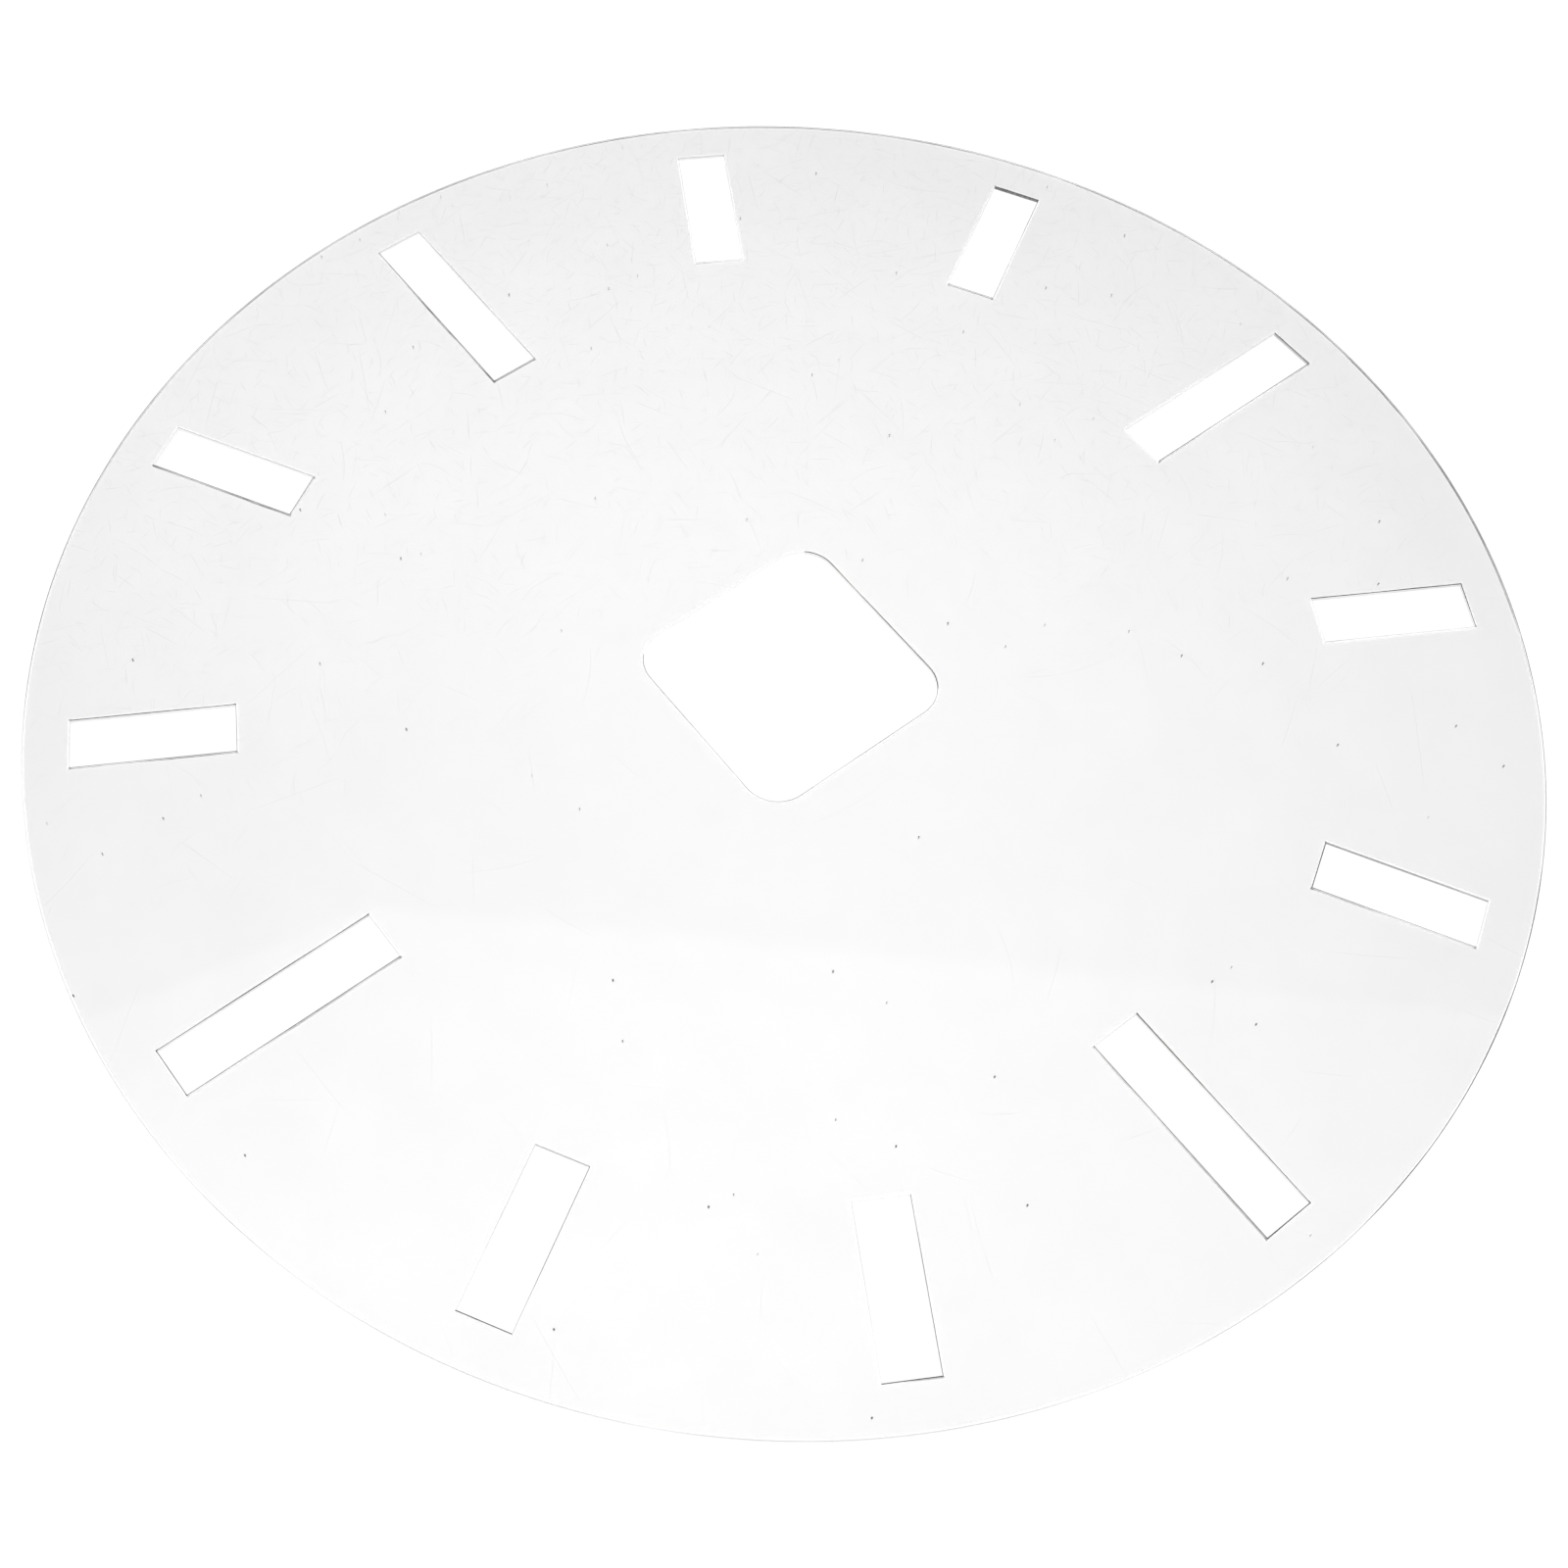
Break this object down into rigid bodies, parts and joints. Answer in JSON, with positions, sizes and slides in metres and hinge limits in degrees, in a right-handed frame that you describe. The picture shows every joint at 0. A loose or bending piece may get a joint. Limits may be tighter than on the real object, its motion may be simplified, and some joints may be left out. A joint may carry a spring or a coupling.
{
  "type": "circle template",
  "caption": "Thin clear disc template for marking out a clock dial: square-ended radial hour slots, longer at the quarters, a round-cornered square centre window, and peel-off films.",
  "frame": {"origin": "on the disc's axis, in the outer face of the back film, which is the face it rests on", "axes": "+Z along the disc's axis, out of the front film; +Y along the long slot at 12 o'clock and +X along the one at 3 o'clock"},
  "size_m": [0.3999, 0.4, 0.0011],
  "materials": {
    "clear_acrylic": "clear cast acrylic, polished faces, laser-cut edges",
    "masking_film": "clear polyethylene film with fine handling scuffs"
  },
  "bodies": {
    "back_film": {"back_film": "masking_film"},
    "template_sheet": {"template_sheet": "clear_acrylic"},
    "front_film": {"front_film": "masking_film"}
  },
  "joints": [
    {"name": "sheet_lift", "type": "slide", "parent": "back_film", "child": "template_sheet", "axis": [0, 0, 1], "range_m": [0, 0.06]},
    {"name": "front_film_lift", "type": "slide", "parent": "template_sheet", "child": "front_film", "axis": [0, 0, 1], "range_m": [0, 0.06]}
  ]
}
